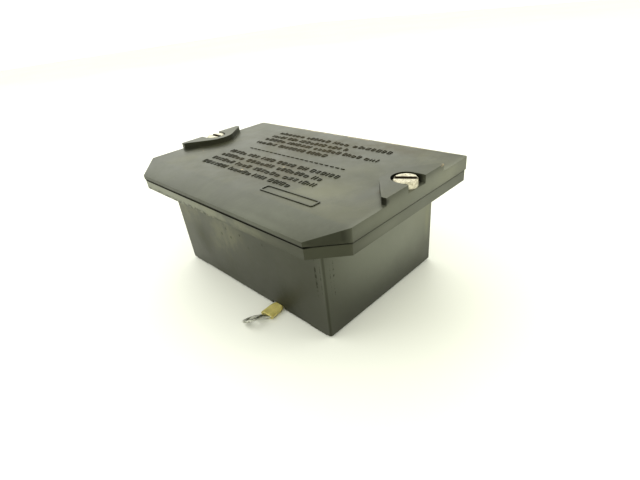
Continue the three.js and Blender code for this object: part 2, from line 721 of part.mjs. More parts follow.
const batteryCase = new THREE.Group();
addPiece(batteryCase, "case_body", geometryOf(makeCaseBody()), blackPlastic);
addPiece(batteryCase, "lid", geometryOf(makeLid()), blackPlastic);
addPiece(batteryCase, "lid_gasket", geometryOf(makeGasket()), darkRubber);
for (const [name, side] of Object.entries(SIDES)) addLidScrew(batteryCase, name, side);
for (const index of cellXs.keys()) addCell(batteryCase, index);
addPiece(batteryCase, "link_plate_back", geometryOf(makeLinkPlate(walls.back, 0)), metals.nickel);
addPiece(batteryCase, "link_plate_front", geometryOf(makeLinkPlate(walls.front, 1)), metals.nickel);
for (const [name, terminal] of Object.entries(terminals)) {
  addPiece(batteryCase, `end_plate_${name}`, geometryOf(makeEndPlate(terminal)), metals.nickel);
}
addTerminal(batteryCase, "minus", LUG_PLATE + PLATE_GAP);
addTerminal(batteryCase, "plus", 0);
addInnerLeadEnd(batteryCase);
addPiece(batteryCase, "lead_wire", makeLeadWire(), wireJacket);
addOuterLeadEnd(batteryCase);

export default batteryCase;
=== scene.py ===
"""Looks for the panel-mounting battery case: finer meshes, procedural materials, floor, light and camera.

Everything is in metres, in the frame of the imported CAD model, with +Z up and the ground at z = 0.
"""

import json
import math
import random

import bmesh
import bpy
from mathutils import Euler, Matrix, Vector

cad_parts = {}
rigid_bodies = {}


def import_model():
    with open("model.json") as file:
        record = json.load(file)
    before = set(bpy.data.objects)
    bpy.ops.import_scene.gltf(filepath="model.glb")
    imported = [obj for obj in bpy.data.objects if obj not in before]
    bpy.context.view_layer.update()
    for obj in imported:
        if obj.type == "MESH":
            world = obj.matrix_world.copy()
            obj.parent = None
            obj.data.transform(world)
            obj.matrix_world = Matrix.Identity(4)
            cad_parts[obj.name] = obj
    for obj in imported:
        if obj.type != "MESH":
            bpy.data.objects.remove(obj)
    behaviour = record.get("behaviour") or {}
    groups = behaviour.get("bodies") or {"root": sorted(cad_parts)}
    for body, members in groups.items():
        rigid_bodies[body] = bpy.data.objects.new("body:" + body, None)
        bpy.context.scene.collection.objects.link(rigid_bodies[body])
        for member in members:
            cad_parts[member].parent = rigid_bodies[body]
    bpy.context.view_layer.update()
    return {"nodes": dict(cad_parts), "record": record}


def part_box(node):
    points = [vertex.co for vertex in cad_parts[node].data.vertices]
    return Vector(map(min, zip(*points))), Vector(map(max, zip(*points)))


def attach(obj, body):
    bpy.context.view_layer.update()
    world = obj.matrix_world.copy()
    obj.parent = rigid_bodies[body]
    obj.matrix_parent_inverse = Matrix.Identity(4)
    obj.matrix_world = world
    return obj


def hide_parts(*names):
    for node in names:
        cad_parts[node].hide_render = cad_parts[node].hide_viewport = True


MM = 0.001

for leftover in list(bpy.data.objects):
    bpy.data.objects.remove(leftover)

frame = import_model()
nodes = frame["nodes"]
body_of_node = {n: b for b, ns in frame["record"]["behaviour"]["bodies"].items() for n in ns}
scene = bpy.context.scene

# ---------------------------------------------------------------- camera

CAMERA_PLACE = (0.152139, -0.120415, 0.123221)
CAMERA_TURN = (60.0037, 5.8317, 44.3393)
CAMERA_LENS = 23.0046

camera_data = bpy.data.cameras.new("camera")
camera_data.lens = CAMERA_LENS
camera_data.sensor_width = 36
camera_data.clip_start = 0.005
camera_data.dof.use_dof = False
camera = bpy.data.objects.new("camera", camera_data)
camera.location = CAMERA_PLACE
camera.rotation_euler = Euler([math.radians(a) for a in CAMERA_TURN], "XYZ")
scene.collection.objects.link(camera)
scene.camera = camera


# ---------------------------------------------------------------- materials

class Surface:
    """One material, built up from small node steps in the model's own coordinates."""

    def __init__(self, name, roughness=0.5, metallic=0.0):
        self.material = bpy.data.materials.new(name)
        self.material.use_nodes = True
        self.tree = self.material.node_tree
        self.shader = self.tree.nodes["Principled BSDF"]
        self.shader.inputs["Metallic"].default_value = metallic
        self.shader.inputs["Roughness"].default_value = roughness
        self.coordinates = self.tree.nodes.new("ShaderNodeTexCoord")
        self.place = self.coordinates.outputs["Object"]

    def add(self, kind, **settings):
        node = self.tree.nodes.new(kind)
        for key, value in settings.items():
            setattr(node, key, value)
        return node

    def put(self, value, socket):
        if isinstance(value, bpy.types.NodeSocket):
            self.tree.links.new(value, socket)
        else:
            socket.default_value = value

    def mapped(self, scale=(1, 1, 1), turn=(0, 0, 0), shift=(0, 0, 0)):
        node = self.add("ShaderNodeMapping")
        self.put(self.place, node.inputs["Vector"])
        node.inputs["Scale"].default_value = scale
        node.inputs["Rotation"].default_value = [math.radians(a) for a in turn]
        node.inputs["Location"].default_value = shift
        return node.outputs["Vector"]

    def noise(
        self, size, detail=4.0, rough=0.55, stretch=(1, 1, 1), turn=(0, 0, 0), shift=(0, 0, 0), warp=0.0
    ):
        """Noise whose features are about size metres across."""
        node = self.add("ShaderNodeTexNoise")
        self.put(self.mapped(stretch, turn, shift), node.inputs["Vector"])
        node.inputs["Scale"].default_value = 1 / size
        node.inputs["Detail"].default_value = detail
        node.inputs["Roughness"].default_value = rough
        node.inputs["Distortion"].default_value = warp
        return node.outputs["Fac"]

    def cells(self, size, shift=(0, 0, 0)):
        """Distance from scattered points about size metres apart."""
        node = self.add("ShaderNodeTexVoronoi")
        self.put(self.mapped(shift=shift), node.inputs["Vector"])
        node.inputs["Scale"].default_value = 1 / size
        return node.outputs["Distance"]

    def span(self, value, low, high, to_low=0.0, to_high=1.0):
        """value from low..high carried smoothly onto to_low..to_high."""
        node = self.add("ShaderNodeMapRange", interpolation_type="SMOOTHSTEP")
        self.put(value, node.inputs["Value"])
        node.inputs["From Min"].default_value = low
        node.inputs["From Max"].default_value = high
        node.inputs["To Min"].default_value = to_low
        node.inputs["To Max"].default_value = to_high
        return node.outputs["Result"]

    def math(self, operation, a, b=0.0):
        node = self.add("ShaderNodeMath", operation=operation)
        self.put(a, node.inputs[0])
        self.put(b, node.inputs[1])
        return node.outputs["Value"]

    def times(self, first, *others):
        for other in others:
            first = self.math("MULTIPLY", first, other)
        return first

    def plus(self, first, *others):
        for other in others:
            first = self.math("ADD", first, other)
        return first

    def mix(self, factor, a, b, blend="MIX"):
        node = self.add("ShaderNodeMix", data_type="RGBA", blend_type=blend)
        colours = [s for s in node.inputs if s.type == "RGBA"]
        self.put(factor, node.inputs["Factor"])
        self.put(a if isinstance(a, bpy.types.NodeSocket) else (*a, 1), colours[0])
        self.put(b if isinstance(b, bpy.types.NodeSocket) else (*b, 1), colours[1])
        return [s for s in node.outputs if s.type == "RGBA"][0]

    def without(self, mask):
        """1 where a mask is 0 and the other way round."""
        return self.math("SUBTRACT", 1.0, mask)

    def near(self, centre, radii):
        """1 at a place in the model, falling to 0 at radii from it."""
        scale = [1 / r for r in radii]
        shift = [-c * s for c, s in zip(centre, scale)]
        node = self.add("ShaderNodeTexGradient", gradient_type="SPHERICAL")
        self.put(self.mapped(scale, shift=shift), node.inputs["Vector"])
        return self.span(node.outputs["Fac"], 0.0, 1.0)

    def up(self):
        """How far the surface faces up, -1..1."""
        node = self.add("ShaderNodeSeparateXYZ")
        self.put(self.coordinates.outputs["Normal"], node.inputs["Vector"])
        return node.outputs["Z"]

    def along(self, axis, place=None):
        """One coordinate, in metres, of the surface or of another place."""
        node = self.add("ShaderNodeSeparateXYZ")
        self.put(place or self.place, node.inputs["Vector"])
        return node.outputs[axis]

    def colour(self, value):
        self.put(value, self.shader.inputs["Base Color"])

    def roughness(self, value):
        self.put(value, self.shader.inputs["Roughness"])

    def bump(self, height, depth, strength=1.0):
        """Adds a bump of a height in metres, on top of any earlier one."""
        node = self.add("ShaderNodeBump")
        node.inputs["Strength"].default_value = strength
        node.inputs["Distance"].default_value = depth
        self.put(height, node.inputs["Height"])
        socket = self.shader.inputs["Normal"]
        if socket.links:
            self.put(socket.links[0].from_socket, node.inputs["Normal"])
        self.put(node.outputs["Normal"], socket)


SCRATCH_WIDTH = 0.35 * MM
SCRATCH_LENGTH = 14 * MM
SCRATCH_TURNS = (12, 68, -37)
SCRATCH_THRESHOLD = 0.70


def scratches(s, shift):
    """Thin broken lines in three directions, 0..1."""
    found = None
    stretch = (1, SCRATCH_LENGTH / SCRATCH_WIDTH, 1)
    for number, turn in enumerate(SCRATCH_TURNS):
        tilt = (turn / 3, turn / 2, turn)
        lines = s.noise(SCRATCH_LENGTH, 3, 0.6, stretch, tilt, (shift + number, 0, 0))
        line = s.span(lines, SCRATCH_THRESHOLD, SCRATCH_THRESHOLD + 0.06)
        found = line if found is None else s.math("MAXIMUM", found, line)
    gaps = s.span(s.noise(20 * MM, 4, 0.6, shift=(shift, 5, 0)), 0.45, 0.62)
    return s.times(found, gaps)


PLASTIC_DARK = (0.0042, 0.0045, 0.0034)
PLASTIC_LIGHT = (0.0090, 0.0095, 0.0070)
# warm dust, also painted as a sheen on some side faces
DUST = (0.124, 0.121, 0.074)
# neutral dust, also painted as a sheen on side faces
NEUTRAL_DUST_AND_SHEEN = (0.112, 0.118, 0.096)
# pale dust, also painted as a sheen on side faces
CHALK_AND_SHEEN = (0.200, 0.205, 0.160)
STAIN = (0.052, 0.036, 0.016)
# dark grime, also used for painted shade and a painted dark reflection
GRIME_AND_SHADE = (0.0030, 0.0030, 0.0022)
PALE_WEAR = (0.075, 0.074, 0.058)
TAN_WEAR = (0.300, 0.220, 0.120)
SPECULAR_TINT = (0.97, 1.0, 0.68, 1.0)
# the painted shadow gap and dirt along the joint are thick at the front and thin out between these two
# places
JOINT_SHADE_AND_DIRT_FADE = (-45.0 * MM, -42.5 * MM)


# what each kind of mark paints (None is the surface's own dust), how much rougher it makes the
# surface, and how much of its shine it takes away
MARK_LOOKS = {
    "stain": (STAIN, 0.16, 0.0),
    # dark grime, also used as a painted reflection of the lead's sleeve and its shadow
    "grease": (GRIME_AND_SHADE, 0.28, 0.0),
    # painted shade on faces that don't face up, with their shine taken away
    "painted_side_shade": (GRIME_AND_SHADE, 0.0, 1.0),
    # neutral dust, also used as a painted sheen on side faces
    "dust_film_and_sheen": (NEUTRAL_DUST_AND_SHEEN, 0.0, 0.0),
    # pale dust, also used as a painted sheen on side faces
    "chalk_and_sheen": (CHALK_AND_SHEEN, 0.0, 0.0),
    "mottle": (None, 0.0, 0.0),
    # painted shade along and under the flange
    "ragged": (GRIME_AND_SHADE, 0.0, 0.7),
    # the surface's dust, also used as a painted sheen on side faces
    "cloud": (None, 0.0, 0.0),
    # painted shade lines of shallow steps beside a corner
    "streak": (GRIME_AND_SHADE, 0.5, 0.0),
    "spots": (GRIME_AND_SHADE, 0.4, 0.0),
    "tan": (TAN_WEAR, 0.0, 0.0),
}
# the share of a mark's radii over which it fades; the others fade all the way from their centre
MARK_FADE = {
    "painted_side_shade": 0.4, "dust_film_and_sheen": 0.9, "chalk_and_sheen": 0.9, "mottle": 0.6, "ragged": 0.5, "streak": 0.35, "tan": 0.5,
}


def mark_texture(s, kind, shift, broad, patches, wipes):
    """The broken pattern inside one kind of mark, 0..1."""
    if kind == "stain":
        return s.span(patches, 0.30, 0.60, 0.35, 1.0)
    if kind == "grease":
        return s.span(patches, 0.30, 0.60, 0.65, 1.0)
    # painted shade: darkest on faces that don't face up
    if kind == "painted_side_shade":
        return s.span(s.up(), 0.3, 0.6, 1.0, 0.0)
    if kind == "dust_film_and_sheen":
        return s.span(broad, 0.25, 0.60, 0.75, 1.0)
    if kind == "chalk_and_sheen":
        return s.span(wipes, 0.30, 0.64, 0.5, 1.0)
    if kind == "mottle":
        return s.span(s.plus(s.times(patches, 0.55), s.times(wipes, 0.45)), 0.42, 0.58)
    if kind == "cloud":
        return s.span(wipes, 0.36, 0.62, 0.1, 1.0)
    if kind == "ragged":
        return s.span(s.noise(2.2 * MM, 6, 0.75, (0.6, 1, 1), shift=(shift, 4, 0)), 0.44, 0.58)
    if kind == "streak":
        return s.span(s.noise(2.6 * MM, 4, 0.7, (0.2, 0.2, 1), shift=(0, 3, shift)), 0.46, 0.56)
    if kind == "tan":
        return s.span(s.noise(1.5 * MM, 5, 0.7, (0.5, 1, 1), shift=(shift, 7, 0)), 0.42, 0.58)
    dots = s.span(s.cells(5.5 * MM, (shift, 0, 1)), 0.10, 0.20, 1.0, 0.0)
    return s.times(dots, s.span(patches, 0.44, 0.56))


def black_plastic(
    name, shift, dust, marks, worn=0.0, dark_from=None, dark_below=None, clean_before=None, shine=0.5
):
    """Dark moulded plastic. marks holds (kind, centre, radii, amount) for its smears, stains, painted
    shade and painted sheen.

    dark_from and dark_below are the heights of the joint between lid and body, which gets a painted
    shadow gap with some dirt, and the dust is neutral instead of warm in front of clean_before.
    """
    s = Surface(name)
    specular = shine
    broad = s.noise(34 * MM, 5, 0.6, shift=(shift, 0, 0), warp=0.4)
    patches = s.noise(8 * MM, 6, 0.68, shift=(0, shift, 0))
    specks = s.noise(0.9 * MM, 3, 0.7, shift=(0, 0, shift))
    grain = s.noise(0.32 * MM, 2, 0.5)
    wipes = s.noise(26 * MM, 7, 0.7, (1, 0.5, 0.7), (0, 0, 34), (0, shift, 2), 0.5)
    scored = scratches(s, shift)

    tone = s.span(s.plus(s.times(broad, 0.6), s.times(patches, 0.4)), 0.36, 0.66)
    colour = s.mix(tone, PLASTIC_DARK, PLASTIC_LIGHT)
    powder_colour = DUST
    if clean_before is not None:
        warm = s.span(s.along("Y"), clean_before - 0.4 * MM, clean_before + 0.6 * MM)
        powder_colour = s.mix(warm, NEUTRAL_DUST_AND_SHEEN, DUST)
    top = s.span(s.up(), -0.2, 0.9, 0.16, 1.0)
    haze = s.times(s.span(wipes, 0.34, 0.74), s.span(broad, 0.30, 0.62, 0.35, 1.0), top, dust)
    powder = s.times(s.span(specks, 0.60, 0.74), s.span(patches, 0.42, 0.62), top, dust * 0.7)
    colour = s.mix(s.plus(haze, powder), colour, powder_colour)
    colour = s.mix(s.times(scored, 0.35), colour, PALE_WEAR)
    gloss = s.span(s.plus(s.times(wipes, 0.6), s.times(patches, 0.4)), 0.32, 0.70, 0.33, 0.47)

    for kind, centre, radii, amount in marks:
        paint, rougher, duller = MARK_LOOKS[kind]
        mask = s.near(centre, radii)
        if kind in MARK_FADE:
            mask = s.span(mask, 0.0, MARK_FADE[kind])
        mask = s.times(mask, mark_texture(s, kind, shift, broad, patches, wipes), amount)
        colour = s.mix(mask, colour, paint or powder_colour)
        if rougher:
            gloss = s.plus(gloss, s.times(mask, rougher))
        if duller:
            specular = s.times(specular, s.without(s.times(mask, duller)))

    if worn:
        rub = s.times(s.span(s.noise(2.2 * MM, 5, 0.7, shift=(shift, 9, 0)), 0.40, 0.64), worn)
        colour = s.mix(rub, colour, PALE_WEAR)
        gloss = s.plus(gloss, s.times(rub, -0.08))

    # painted shadow gap with some dirt along the joint, on steep faces and strongest at the front
    steep = s.span(s.math("ABSOLUTE", s.up()), 0.85, 0.97, 1.0, 0.0)
    in_front = s.span(s.along("Y"), *JOINT_SHADE_AND_DIRT_FADE, 1.0, 0.25)
    for level, at_low, at_high in ((dark_from, 0.0, 1.0), (dark_below, 1.0, 0.0)):
        if level is not None:
            reached = s.span(s.along("Z"), level - 0.08 * MM, level + 0.08 * MM, at_low, at_high)
            gap_shade_and_dirt = s.times(reached, steep, in_front)
            colour = s.mix(gap_shade_and_dirt, colour, GRIME_AND_SHADE)
            gloss = s.math("MAXIMUM", gloss, s.times(gap_shade_and_dirt, 0.95))
            specular = s.times(specular, s.without(gap_shade_and_dirt))

    s.colour(colour)
    s.roughness(gloss)
    s.shader.inputs["Specular IOR Level"].default_value = shine
    s.put(specular, s.shader.inputs["Specular IOR Level"])
    s.shader.inputs["Specular Tint"].default_value = SPECULAR_TINT
    s.shader.inputs["IOR"].default_value = 1.5
    s.bump(grain, 0.02 * MM, 0.3)
    s.bump(patches, 0.05 * MM, 0.2)
    s.bump(s.without(scored), 0.04 * MM, 0.5)
    return s.material


def metal(name, light, dark, tarnish, shift, rough=(0.22, 0.46), brushed=(1, 1, 1), spots=0.35):
    """Plated or bare metal with brushing, tarnish and dirt."""
    s = Surface(name, metallic=1.0)
    patches = s.noise(2.6 * MM, 6, 0.65, shift=(shift, 0, 0))
    fine = s.noise(0.5 * MM, 3, 0.6, brushed, (0, 0, 8), (0, shift, 0))
    dirt = s.span(s.noise(1.3 * MM, 5, 0.7, shift=(3, shift, 0)), 0.52, 0.70)
    colour = s.mix(s.span(s.plus(s.times(patches, 0.6), s.times(fine, 0.4)), 0.35, 0.65), dark, light)
    colour = s.mix(s.times(dirt, spots), colour, tarnish)
    s.colour(colour)
    s.roughness(s.plus(s.span(fine, 0.3, 0.7, *rough), s.times(dirt, 0.22)))
    s.bump(fine, 0.015 * MM, 0.5)
    s.bump(patches, 0.03 * MM, 0.3)
    return s.material


SCREW_X, SCREW_Y, SCREW_TOP = 67.2 * MM, 5.2 * MM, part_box("lid_screw_right")[1].z
SLOT_ANGLES = {"left": 0, "right": 28}
HEAD_REACH = (4.9 * MM, 4.9 * MM, 60 * MM)
# dirt in the screw slots, also standing for the painted shade of the recess
PACKED_DIRT_AND_SHADE = (0.020, 0.012, 0.006)
RUSTY_DIRT = (0.16, 0.105, 0.045)


def screw_nickel():
    """Nickel plate, with the slots of both screw heads darkened by dirt and by painted shade."""
    s = Surface("screw_nickel", metallic=1.0)
    patches = s.noise(2.2 * MM, 6, 0.65)
    fine = s.noise(0.45 * MM, 3, 0.6, (1, 0.3, 1), (0, 0, 20))
    dirt = s.span(s.noise(1.2 * MM, 5, 0.7, shift=(3, 1, 0)), 0.54, 0.70)
    tone = s.span(s.plus(s.times(patches, 0.6), s.times(fine, 0.4)), 0.38, 0.62)
    colour = s.mix(tone, (0.36, 0.33, 0.25), (0.70, 0.66, 0.53))
    colour = s.mix(s.times(dirt, 0.75), colour, RUSTY_DIRT)
    # painted shade with dirt: the slot floors and a ragged band round each slot are darkened
    low = s.span(s.along("Z"), SCREW_TOP - 0.32 * MM, SCREW_TOP - 0.12 * MM, 1.0, 0.0)
    in_head = s.span(s.along("Z"), SCREW_TOP - 2.4 * MM, SCREW_TOP - 2.2 * MM)
    slot_dirt_and_shade = None
    for x, angle in ((-SCREW_X, SLOT_ANGLES["left"]), (SCREW_X, SLOT_ANGLES["right"])):
        inside = s.span(s.near((x, SCREW_Y, SCREW_TOP), HEAD_REACH), 0.0, 0.05)
        turn = math.radians(angle)
        middle = SCREW_Y * math.cos(turn) - x * math.sin(turn)
        from_slot = s.along("Y", s.mapped(turn=(0, 0, -angle), shift=(0, -middle, 0)))
        ragged = s.plus(s.math("ABSOLUTE", from_slot), s.times(patches, 0.5 * MM))
        band_round_slot = s.span(ragged, 1.45 * MM, 1.75 * MM, 0.92, 0.0)
        darkened_slot = s.times(inside, in_head, s.math("MAXIMUM", low, band_round_slot))
        slot_dirt_and_shade = darkened_slot if slot_dirt_and_shade is None else s.math("MAXIMUM", slot_dirt_and_shade, darkened_slot)
    s.colour(s.mix(slot_dirt_and_shade, colour, PACKED_DIRT_AND_SHADE))
    s.put(s.without(slot_dirt_and_shade), s.shader.inputs["Metallic"])
    s.put(s.span(slot_dirt_and_shade, 0.0, 1.0, 0.5, 0.0), s.shader.inputs["Specular IOR Level"])
    s.roughness(s.plus(s.span(fine, 0.3, 0.7, 0.30, 0.50), s.times(dirt, 0.2), s.times(slot_dirt_and_shade, 0.4)))
    s.bump(fine, 0.015 * MM, 0.5)
    s.bump(patches, 0.05 * MM, 0.5)
    return s.material


def soft_vinyl(name, light, dark, shift, rough=(0.38, 0.56), glow=0.0):
    """Soft insulation, slightly dirty, with fine draw lines."""
    s = Surface(name)
    patches = s.noise(3.0 * MM, 5, 0.65, shift=(shift, 0, 0))
    fine = s.noise(0.35 * MM, 3, 0.6, (1, 0.25, 1), (0, 0, 0), (0, shift, 0))
    grime = s.span(s.noise(1.6 * MM, 5, 0.7, shift=(0, 2, shift)), 0.55, 0.74)
    colour = s.mix(s.span(s.plus(s.times(patches, 0.7), s.times(fine, 0.3)), 0.34, 0.64), dark, light)
    colour = s.mix(s.times(grime, 0.45), colour, tuple(0.35 * c for c in dark))
    s.colour(colour)
    s.roughness(s.span(patches, 0.35, 0.65, *rough))
    if glow:
        s.shader.inputs["Subsurface Weight"].default_value = glow
        s.shader.inputs["Subsurface Radius"].default_value = (1.0, 0.7, 0.3)
        s.shader.inputs["Subsurface Scale"].default_value = 0.6 * MM
    s.bump(fine, 0.03 * MM, 0.5)
    return s.material


def gasket_rubber():
    """Matt black rubber with small pores."""
    s = Surface("gasket_rubber")
    patches = s.noise(5 * MM, 5, 0.65)
    pores = s.cells(0.5 * MM)
    colour = s.mix(s.span(patches, 0.35, 0.65), (0.010, 0.010, 0.010), (0.026, 0.025, 0.023))
    s.colour(colour)
    s.roughness(s.span(patches, 0.35, 0.65, 0.72, 0.92))
    s.bump(pores, 0.05 * MM, 0.4)
    return s.material


JACKET_BANDS = (28 * MM, -16 * MM)
BAND_HALF = 2.2 * MM


def cell_jacket():
    """A printed shrink jacket with plain bands and no lettering."""
    s = Surface("cell_jacket")
    patches = s.noise(14 * MM, 4, 0.6)
    fine = s.noise(0.8 * MM, 4, 0.6, (1, 0.3, 1))
    along = s.along("Y")
    colour = s.mix(s.span(patches, 0.3, 0.7), (0.060, 0.075, 0.088), (0.095, 0.115, 0.130))
    for middle in JACKET_BANDS:
        offset = s.math("ABSOLUTE", s.math("SUBTRACT", along, middle))
        band = s.span(offset, BAND_HALF, BAND_HALF + 0.15 * MM, 1.0, 0.0)
        colour = s.mix(band, colour, (0.42, 0.40, 0.34))
    scuff = s.times(s.span(fine, 0.60, 0.72), s.span(patches, 0.45, 0.6), 0.5)
    s.colour(s.mix(scuff, colour, (0.30, 0.30, 0.29)))
    s.roughness(s.span(patches, 0.3, 0.7, 0.26, 0.42))
    s.shader.inputs["Coat Weight"].default_value = 0.35
    s.shader.inputs["Coat Roughness"].default_value = 0.18
    s.bump(fine, 0.02 * MM, 0.4)
    return s.material


# marks on the lid, the raised print and the body: kind, centre, radii and amount
LID_MARKS = (
    ("stain", (-0.010, 0.024, 0.059), (0.055, 0.024, 0.02), 0.65),
    ("stain", (0.000, -0.010, 0.059), (0.055, 0.022, 0.02), 0.65),
    ("stain", (0.035, 0.040, 0.059), (0.045, 0.012, 0.02), 0.60),
    ("cloud", (-0.055, -0.010, 0.059), (0.024, 0.034, 0.02), 0.30),
    ("cloud", (0.045, -0.020, 0.059), (0.034, 0.024, 0.02), 0.45),
    ("cloud", (0.060, 0.034, 0.059), (0.020, 0.018, 0.02), 0.40),
    # painted sheen: the lid's right side is lighter towards the back, with some dust
    ("cloud", (0.0725, 0.030, 0.0565), (0.005, 0.036, 0.006), 0.75),
    ("cloud", (0.0725, -0.010, 0.0565), (0.005, 0.030, 0.006), 0.20),
    ("mottle", (-0.020, -0.040, 0.057), (0.070, 0.009, 0.006), 0.10),
    # painted shade on the walls of the screw bosses
    ("painted_side_shade", (-0.062, 0.0062, 0.0606), (0.012, 0.021, 0.0024), 0.40),
    ("painted_side_shade", (0.062, 0.0052, 0.0606), (0.0085, 0.030, 0.0024), 0.60),
    ("tan", (0.000, 0.0452, 0.0592), (0.095, 0.0018, 0.0011), 0.90),
    ("tan", (0.0725, 0.025, 0.0622), (0.0012, 0.0045, 0.0014), 0.9),
    # painted sheen on the lid's right side, with some dust
    ("chalk_and_sheen", (0.0725, 0.026, 0.0565), (0.005, 0.030, 0.0070), 0.16),
    ("chalk_and_sheen", (0.0725, -0.030, 0.0565), (0.005, 0.012, 0.0060), 0.12),
    ("tan", (-0.0091, -0.0185, 0.0592), (0.0011, 0.0011, 0.0010), 1.0),
    ("tan", (0.0072, -0.0056, 0.0592), (0.0011, 0.0011, 0.0010), 1.0),
    ("tan", (-0.0555, -0.0112, 0.0592), (0.0009, 0.0009, 0.0010), 1.0),
    ("stain", (0.0632, -0.0042, 0.0592), (0.0032, 0.0042, 0.0014), 1.0),
    # painted sheen along the lid's right side, with some dust
    ("dust_film_and_sheen", (0.0725, 0.006, 0.0565), (0.004, 0.070, 0.008), 0.52),
    ("dust_film_and_sheen", (0.040, -0.041, 0.057), (0.042, 0.009, 0.006), 0.14),
    # painted shade on the lid's right front corner and the front end of the right boss
    ("painted_side_shade", (0.0665, -0.0400, 0.0562), (0.011, 0.011, 0.0050), 0.30),
    ("painted_side_shade", (0.0714, -0.0352, 0.0568), (0.0024, 0.0028, 0.0060), 0.26),
    ("painted_side_shade", (0.0690, -0.0145, 0.0605), (0.0060, 0.0040, 0.0026), 0.62),
    # painted sheen on the lid's front face, with some dust
    ("dust_film_and_sheen", (0.034, -0.0448, 0.0560), (0.034, 0.0042, 0.006), 0.24),
    # painted shadow gap, with some dirt, along the front of the joint
    ("painted_side_shade", (-0.012, -0.0455, 0.0531), (0.110, 0.0040, 0.0007), 1.00),
)
BODY_MARKS = (
    ("mottle", (-0.030, -0.034, 0.030), (0.050, 0.012, 0.024), 0.30),
    # painted sheen: the flange's front face is lighter, with some dust
    ("mottle", (-0.030, -0.0455, 0.0500), (0.100, 0.003, 0.0060), 0.62),
    ("cloud", (-0.048, -0.0455, 0.0505), (0.050, 0.003, 0.0050), 0.55),
    ("cloud", (-0.050, -0.034, 0.040), (0.020, 0.012, 0.018), 0.55),
    ("cloud", (-0.012, -0.034, 0.032), (0.020, 0.010, 0.014), 0.45),
    # painted reflection lightening the right wall, with some dust
    ("dust_film_and_sheen", (0.057, 0.014, 0.038), (0.012, 0.075, 0.048), 0.97),
    # painted sheen on the flange's front face, with some dust
    ("dust_film_and_sheen", (-0.060, -0.0455, 0.0505), (0.090, 0.003, 0.0060), 0.95),
    ("mottle", (0.020, 0.044, 0.028), (0.060, 0.012, 0.024), 0.40),
    ("cloud", (-0.040, 0.044, 0.034), (0.026, 0.012, 0.016), 0.60),
    ("cloud", (-0.057, 0.000, 0.030), (0.012, 0.034, 0.022), 0.60),
    ("spots", (0.010, 0.044, 0.030), (0.050, 0.006, 0.018), 0.8),
    ("grease", (-0.057, 0.022, 0.010), (0.010, 0.014, 0.014), 0.5),
    # painted reflection on the upper back of the right wall, with some dust
    ("cloud", (0.057, 0.034, 0.042), (0.012, 0.020, 0.022), 0.60),
    # painted highlight: a light vertical streak near the back edge of the right wall
    ("cloud", (0.057, 0.0395, 0.026), (0.012, 0.0028, 0.016), 0.75),
    # painted sheen on the flange's right face, with some dust
    ("dust_film_and_sheen", (0.0725, 0.010, 0.0500), (0.003, 0.060, 0.0080), 0.40),
    # painted reflection of the lead's sleeve and its shadow on the front wall
    ("grease", (0.029, -0.034, 0.006), (0.013, 0.010, 0.017), 0.85),
    ("grease", (-0.036, -0.034, 0.020), (0.014, 0.010, 0.016), 0.55),
    # painted shade along the flange's lower edge and on the wall under the flange
    ("ragged", (-0.030, -0.0455, 0.0483), (0.060, 0.003, 0.0020), 1.0),
    ("ragged", (-0.020, -0.034, 0.0405), (0.050, 0.006, 0.0045), 0.55),
    # painted shadow gap, with some dirt, along the front of the joint
    ("painted_side_shade", (-0.012, -0.0455, 0.0526), (0.110, 0.0040, 0.0006), 1.00),
    ("spots", (-0.012, -0.034, 0.038), (0.050, 0.006, 0.016), 1.0),
    # painted shade line down the front right corner
    ("painted_side_shade", (0.0562, -0.0332, 0.0250), (0.00062, 0.00062, 0.120), 0.30),
    # painted sheen on the flange's front face, with some dust
    ("chalk_and_sheen", (-0.035, -0.0455, 0.0504), (0.110, 0.003, 0.0045), 0.34),
    # painted reflection on the right wall, with some dust
    ("chalk_and_sheen", (0.057, 0.027, 0.036), (0.012, 0.034, 0.032), 0.16),
    # painted sheen on the flange's right face, with some dust
    ("chalk_and_sheen", (0.0725, -0.018, 0.0503), (0.003, 0.024, 0.0050), 0.16),
    # painted shade lines of shallow steps beside the front right corner
    ("streak", (0.0518, -0.034, 0.030), (0.0007, 0.004, 0.012), 0.9),
    ("streak", (0.0545, -0.034, 0.030), (0.0004, 0.004, 0.011), 0.5),
    ("streak", (0.0568, -0.0284, 0.029), (0.004, 0.0006, 0.011), 0.8),
    ("streak", (0.0568, -0.0303, 0.029), (0.004, 0.0004, 0.010), 0.4),
)
PRINT_MARKS = (
    # painted shade on the side walls of the raised print
    ("painted_side_shade", (0.0, 0.0, 0.0592), (0.30, 0.30, 0.02), 0.85),
    ("stain", (0.0, 0.024, 0.059), (0.070, 0.030, 0.02), 0.80),
    ("stain", (-0.010, -0.008, 0.059), (0.050, 0.020, 0.02), 0.60),
)
CREASE_Y = -33.3 * MM
JOINT_LOW = 52.45 * MM
JOINT_HIGH = 53.40 * MM
LID_SHIFT, LID_DUST = 1.7, 0.335
BODY_SHIFT, BODY_DUST = 4.1, 0.26
